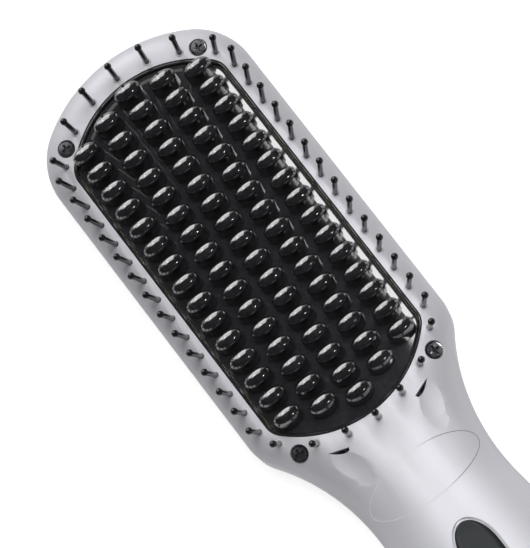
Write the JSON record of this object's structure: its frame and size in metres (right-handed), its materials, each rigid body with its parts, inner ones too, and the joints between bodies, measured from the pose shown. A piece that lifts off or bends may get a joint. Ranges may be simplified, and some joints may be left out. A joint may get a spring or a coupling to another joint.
{
  "type": "steam hair straightener brush",
  "caption": "Paddle-shaped heated brush with oval domed studs, a ring of ball-tipped guard pins, steam slits, a button panel on the grip, a filler plug and a turning cord gland.",
  "frame": {"origin": "middle of the whole brush in plan, on the surface that it lies on with its back down", "axes": "+X across the brush, +Y from the handle to the tip of the head, +Z out of the bristle side"},
  "size_m": [0.0708, 0.2946, 0.0439],
  "materials": {
    "silver_paint": "satin silver paint on ABS",
    "bezel_lip": "gloss dark plastic lip",
    "coated_plate": "dark ceramic coating, glossy",
    "coated_stud": "dark ceramic glaze, glossy",
    "pin_plastic": "heat-resistant gloss nylon",
    "dark_screw": "black oxide",
    "tray_plastic": "heat-resistant moulding",
    "heater_ceramic": "unglazed",
    "mica": "flaky, satin",
    "sheet_steel": "plain zinc-plated sheet",
    "sensor_glass": "cured resin",
    "lead_sleeve": "silicone sleeve",
    "boiler_alloy": "die-cast",
    "hose_silicone": "translucent silicone",
    "pump_plastic": "moulded",
    "tank_plastic": "clear plastic, like frosted glass",
    "seal_rubber": "soft, matt",
    "panel_dark": "dark slate gloss",
    "display_smoke": "smoked window",
    "display_body": "moulded block",
    "button_plastic": "soft satin",
    "switch_black": "moulded",
    "board_green": "solder mask on glass fibre",
    "swivel_plastic": "fine texture"
  },
  "bodies": {
    "brush_body": {"front_shell": "silver_paint", "rear_shell": "silver_paint", "bed_rim": "bezel_lip", "heating_plate": "coated_plate", "heated_studs": "coated_stud", "guard_pins": "pin_plastic", "head_screws": "dark_screw", "rear_screws": "dark_screw", "heater_tray": "tray_plastic", "heater_elements": "heater_ceramic", "mica_sheet": "mica", "clamp_plate": "sheet_steel", "thermal_fuse": "sensor_glass", "thermistor": "sensor_glass", "heater_leads": "lead_sleeve", "steam_boiler": "boiler_alloy", "boiler_heater": "sheet_steel", "steam_nozzle_right": "hose_silicone", "steam_nozzle_left": "hose_silicone", "pressure_hose": "hose_silicone", "water_pump": "pump_plastic", "suction_hose": "hose_silicone", "water_tank": "tank_plastic", "filler_gasket": "seal_rubber", "control_panel": "panel_dark", "display_lens": "display_smoke", "display_module": "display_body", "button_switches": "switch_black", "circuit_board": "board_green", "board_screws": "dark_screw"},
    "steam_button": {"steam_button": "button_plastic"},
    "plus_button": {"plus_button": "button_plastic"},
    "minus_button": {"minus_button": "button_plastic"},
    "power_button": {"power_button": "button_plastic"},
    "tank_plug": {"tank_plug": "seal_rubber"},
    "cord_swivel": {"cord_swivel": "swivel_plastic"}
  },
  "joints": [
    {"name": "steam_button_press", "type": "slide", "parent": "brush_body", "child": "steam_button", "axis": [0, 0, -1], "range_m": [0, 0.0005], "stiffness_N_per_m": 800, "springref_m": -0.0006},
    {"name": "plus_button_press", "type": "slide", "parent": "brush_body", "child": "plus_button", "axis": [0, 0, -1], "range_m": [0, 0.0005], "stiffness_N_per_m": 800, "springref_m": -0.0006},
    {"name": "minus_button_press", "type": "slide", "parent": "brush_body", "child": "minus_button", "axis": [0, 0, -1], "range_m": [0, 0.0005], "stiffness_N_per_m": 800, "springref_m": -0.0006},
    {"name": "power_button_press", "type": "slide", "parent": "brush_body", "child": "power_button", "axis": [0, 0, -1], "range_m": [0, 0.0005], "stiffness_N_per_m": 800, "springref_m": -0.0006},
    {"name": "tank_plug_pull", "type": "slide", "parent": "brush_body", "child": "tank_plug", "axis": [0, 0, 1], "range_m": [0, 0.014]},
    {"name": "cord_swivel_turn", "type": "hinge", "parent": "brush_body", "child": "cord_swivel", "pos_m": [0, -0.1413, 0.016], "axis": [0, 1, 0], "continuous": true}
  ]
}
